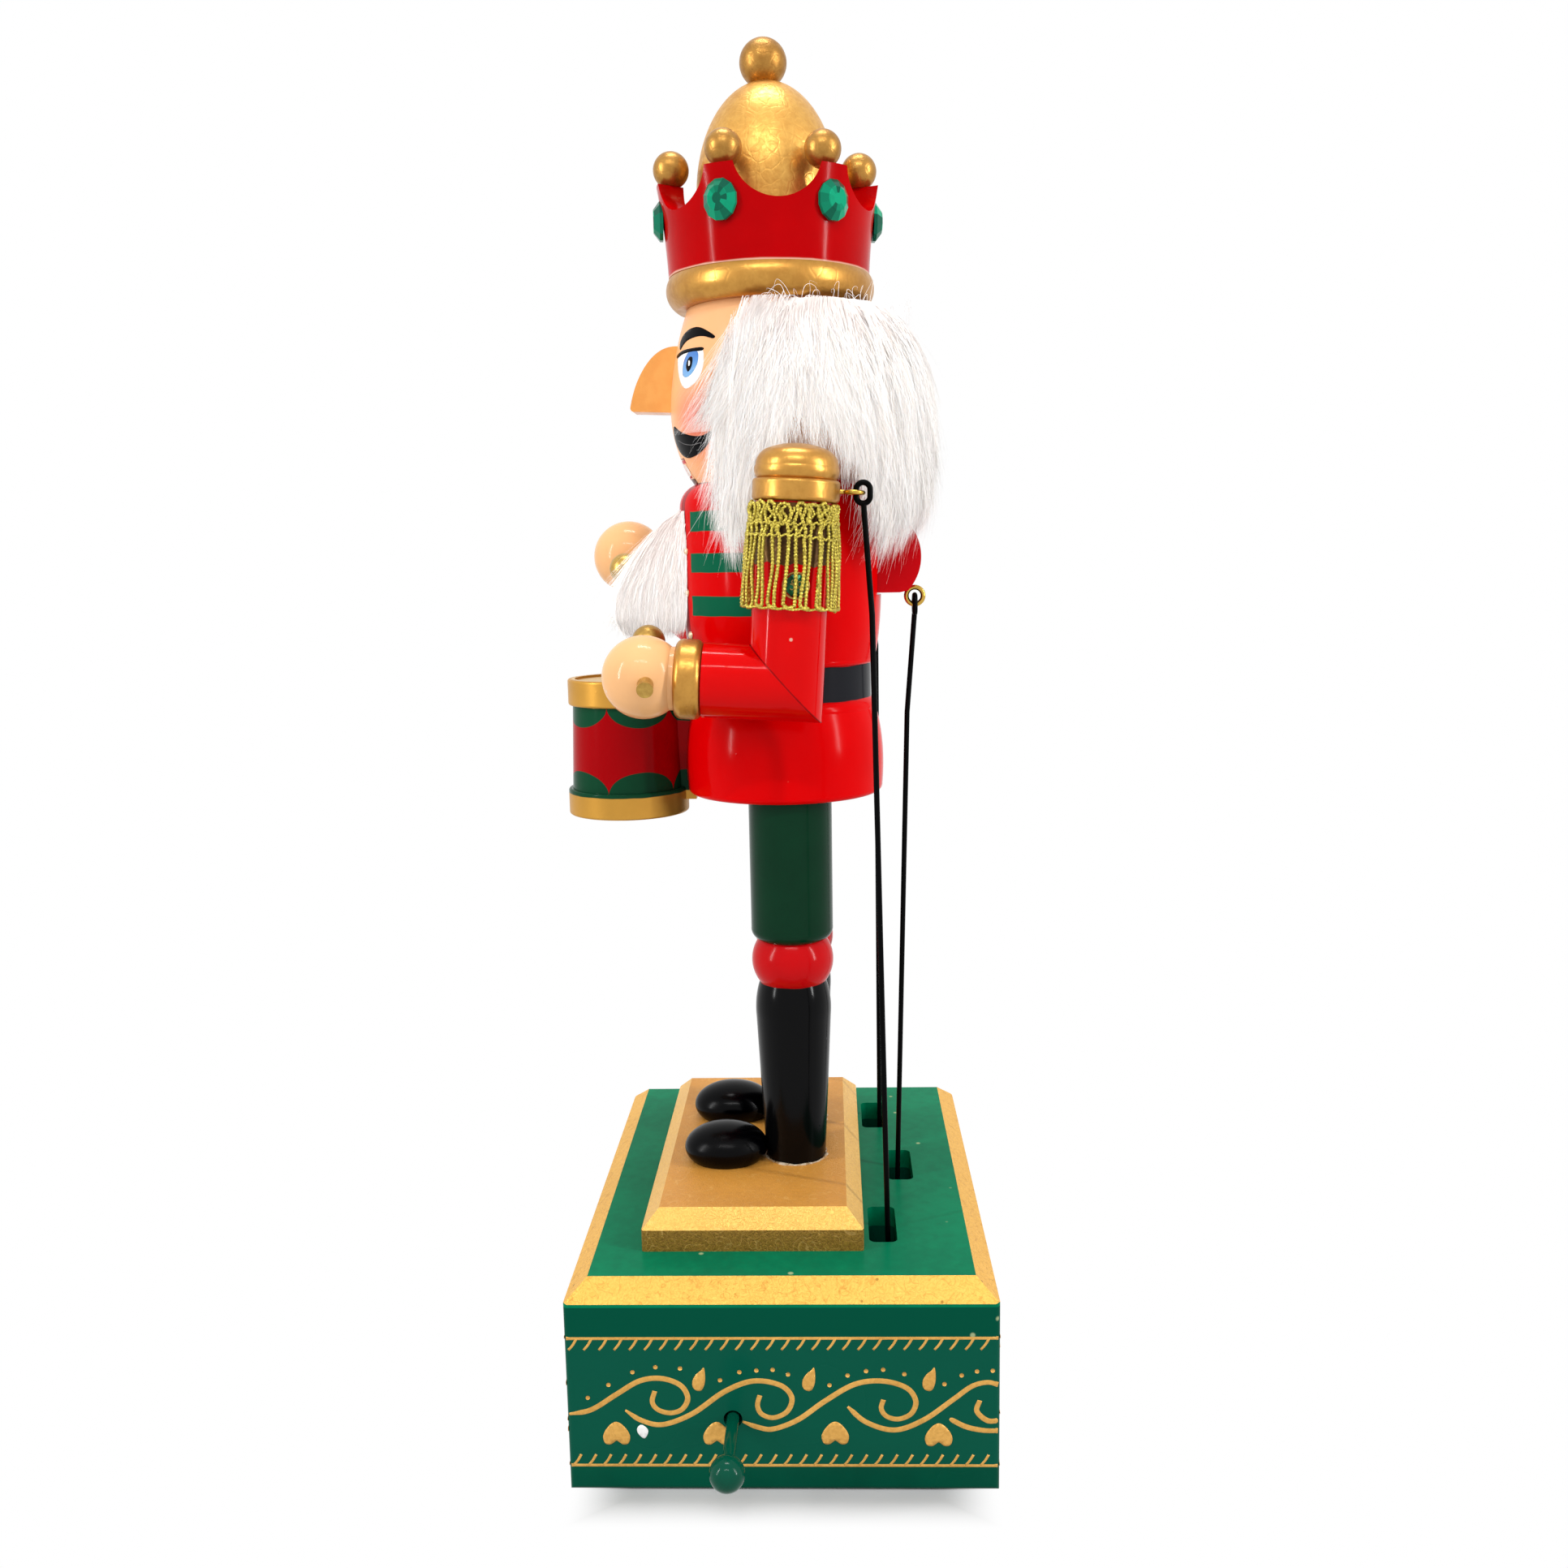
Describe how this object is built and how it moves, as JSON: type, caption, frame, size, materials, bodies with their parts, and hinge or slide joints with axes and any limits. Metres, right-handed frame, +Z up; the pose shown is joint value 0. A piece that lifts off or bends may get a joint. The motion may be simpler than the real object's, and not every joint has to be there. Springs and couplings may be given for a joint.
{
  "type": "drumming nutcracker music box",
  "caption": "Wind-up music box base with a crowned wooden nutcracker drummer whose arms and jaw are pulled by wire rods from cams in the base.",
  "frame": {"origin": "centre of the base's underside", "axes": "+Z up, the figure faces -Y, +X towards the figure's left arm"},
  "size_m": [0.212, 0.1259, 0.4051],
  "materials": {
    "green_lacquer": "painted green satin",
    "red_lacquer": "painted glossy red",
    "black_lacquer": "painted glossy black",
    "flesh_paint": "painted flesh colour satin",
    "gold_paint": "painted metallic gold",
    "gold_trim": "painted metallic gold",
    "raw_wood": "plain wood, lightly oiled",
    "drum_paint": "painted green with a red band and gold hoops",
    "light_board": "plain board",
    "white_fur": "white plush fur",
    "gold_bullion": "twisted metallic thread",
    "green_stone": "faceted, foiled back",
    "gold_ball": "metallic gold",
    "brass": "polished",
    "steel": "brushed",
    "spring_steel": "blued",
    "black_wire": "blackened",
    "green_metal": "painted glossy green"
  },
  "bodies": {
    "stand": {"base_top": "green_lacquer", "base_wall_front": "green_lacquer", "base_wall_back": "green_lacquer", "base_wall_left": "green_lacquer", "base_wall_right": "green_lacquer", "base_bottom": "light_board", "wood_screws": "steel", "plinth": "gold_paint", "leg_left": "green_lacquer", "leg_right": "green_lacquer", "shoe_left": "black_lacquer", "shoe_right": "black_lacquer", "torso": "red_lacquer", "head": "flesh_paint", "nose": "raw_wood", "crown_ring": "gold_trim", "crown": "red_lacquer", "crown_balls": "gold_ball", "crown_stones": "green_stone", "crown_dome": "gold_paint", "crown_finial": "gold_trim", "hair": "white_fur", "drum": "drum_paint", "pivot_pins": "steel", "movement_frame": "steel", "comb": "steel"},
    "arm_left": {"upper_arm_left": "red_lacquer", "forearm_left": "red_lacquer", "cuff_left": "gold_trim", "hand_left": "flesh_paint", "shoulder_cap_left": "gold_trim", "fringe_left": "gold_bullion", "drumstick_left": "raw_wood", "screw_eye_left": "brass"},
    "arm_right": {"upper_arm_right": "red_lacquer", "forearm_right": "red_lacquer", "cuff_right": "gold_trim", "hand_right": "flesh_paint", "shoulder_cap_right": "gold_trim", "fringe_right": "gold_bullion", "drumstick_right": "raw_wood", "screw_eye_right": "brass"},
    "jaw": {"jaw_lever": "red_lacquer", "beard": "white_fur", "jaw_eye": "brass"},
    "rod_left": {"rod_left": "black_wire"},
    "rod_right": {"rod_right": "black_wire"},
    "rod_jaw": {"rod_jaw": "black_wire"},
    "lever_left": {"lever_left": "steel"},
    "lever_right": {"lever_right": "steel"},
    "lever_jaw": {"lever_jaw": "steel"},
    "key": {"winding_key": "brass", "winding_arbor": "steel"},
    "barrel": {"spring_barrel": "brass", "mainspring": "spring_steel"},
    "cylinder": {"note_cylinder": "brass"},
    "camshaft": {"camshaft": "steel"},
    "governor": {"governor_wheel": "brass"},
    "fly": {"governor_fly": "brass"},
    "stop": {"stop_rod": "green_metal"}
  },
  "joints": [
    {"name": "camshaft_turn", "type": "hinge", "parent": "stand", "child": "camshaft", "pos_m": [0, 0.0134, 0.02957], "axis": [1, 0, 0], "range_deg": [0, 180]},
    {"name": "arm_left_swing", "type": "hinge", "parent": "stand", "child": "arm_left", "pos_m": [0.042, 0.0065, 0.263], "axis": [-1, 0, 0], "range_deg": [0, 37]},
    {"name": "arm_right_swing", "type": "hinge", "parent": "stand", "child": "arm_right", "pos_m": [-0.042, 0.0065, 0.263], "axis": [-1, 0, 0], "range_deg": [-37, 0]},
    {"name": "jaw_open", "type": "hinge", "parent": "stand", "child": "jaw", "pos_m": [0, 0.003, 0.264], "axis": [1, 0, 0], "range_deg": [0, 10]},
    {"name": "lever_left_tilt", "type": "hinge", "parent": "stand", "child": "lever_left", "pos_m": [0.0393, 0.002, 0.01794], "axis": [-1, 0, 0], "range_deg": [0, 26.35]},
    {"name": "lever_right_tilt", "type": "hinge", "parent": "stand", "child": "lever_right", "pos_m": [-0.0393, 0.002, 0.01794], "axis": [-1, 0, 0], "range_deg": [-26.35, 0]},
    {"name": "lever_jaw_tilt", "type": "hinge", "parent": "stand", "child": "lever_jaw", "pos_m": [-0.0027, 0.002, 0.01794], "axis": [1, 0, 0], "range_deg": [0, 12.42]},
    {"name": "rod_left_hang", "type": "hinge", "parent": "arm_left", "child": "rod_left", "pos_m": [0.042, 0.02554, 0.27446], "axis": [-1, 0, 0], "range_deg": [-36.3, 0]},
    {"name": "rod_right_hang", "type": "hinge", "parent": "arm_right", "child": "rod_right", "pos_m": [-0.042, 0.0286, 0.2607], "axis": [-1, 0, 0], "range_deg": [0, 36.3]},
    {"name": "rod_jaw_hang", "type": "hinge", "parent": "jaw", "child": "rod_jaw", "pos_m": [0, 0.042, 0.24265], "axis": [1, 0, 0], "range_deg": [-10.78, 0]},
    {"name": "cylinder_turn", "type": "hinge", "parent": "stand", "child": "cylinder", "pos_m": [0, -0.0095, 0.02555], "axis": [1, 0, 0], "range_deg": [-192, 0]},
    {"name": "barrel_turn", "type": "hinge", "parent": "stand", "child": "barrel", "pos_m": [0, -0.032, 0.02555], "axis": [1, 0, 0], "range_deg": [0, 96]},
    {"name": "governor_turn", "type": "hinge", "parent": "stand", "child": "governor", "pos_m": [0, -0.0245, 0.02576], "axis": [1, 0, 0], "range_deg": [0, 576]},
    {"name": "fly_turn", "type": "hinge", "parent": "stand", "child": "fly", "pos_m": [0, -0.0138, 0.01525], "axis": [1, 0, 0], "range_deg": [-1728, 0]},
    {"name": "key_turn", "type": "hinge", "parent": "stand", "child": "key", "pos_m": [0, -0.032, 0.02555], "axis": [1, 0, 0], "continuous": true},
    {"name": "stop_push", "type": "slide", "parent": "stand", "child": "stop", "axis": [-1, 0, 0], "range_m": [0, 0.006]}
  ],
  "couplings": [
    {"joint": "arm_left_swing", "follows": "camshaft_turn", "ratio": 0.20556},
    {"joint": "arm_right_swing", "follows": "camshaft_turn", "ratio": -0.20556},
    {"joint": "jaw_open", "follows": "camshaft_turn", "ratio": 0.055556},
    {"joint": "lever_left_tilt", "follows": "camshaft_turn", "ratio": 0.14638},
    {"joint": "lever_right_tilt", "follows": "camshaft_turn", "ratio": -0.14638},
    {"joint": "lever_jaw_tilt", "follows": "camshaft_turn", "ratio": 0.069021},
    {"joint": "rod_left_hang", "follows": "camshaft_turn", "ratio": -0.20165},
    {"joint": "rod_right_hang", "follows": "camshaft_turn", "ratio": 0.20165},
    {"joint": "rod_jaw_hang", "follows": "camshaft_turn", "ratio": -0.059898},
    {"joint": "cylinder_turn", "follows": "camshaft_turn", "ratio": -1.0667},
    {"joint": "barrel_turn", "follows": "camshaft_turn", "ratio": 0.53333},
    {"joint": "governor_turn", "follows": "camshaft_turn", "ratio": 3.2},
    {"joint": "fly_turn", "follows": "camshaft_turn", "ratio": -9.6}
  ]
}
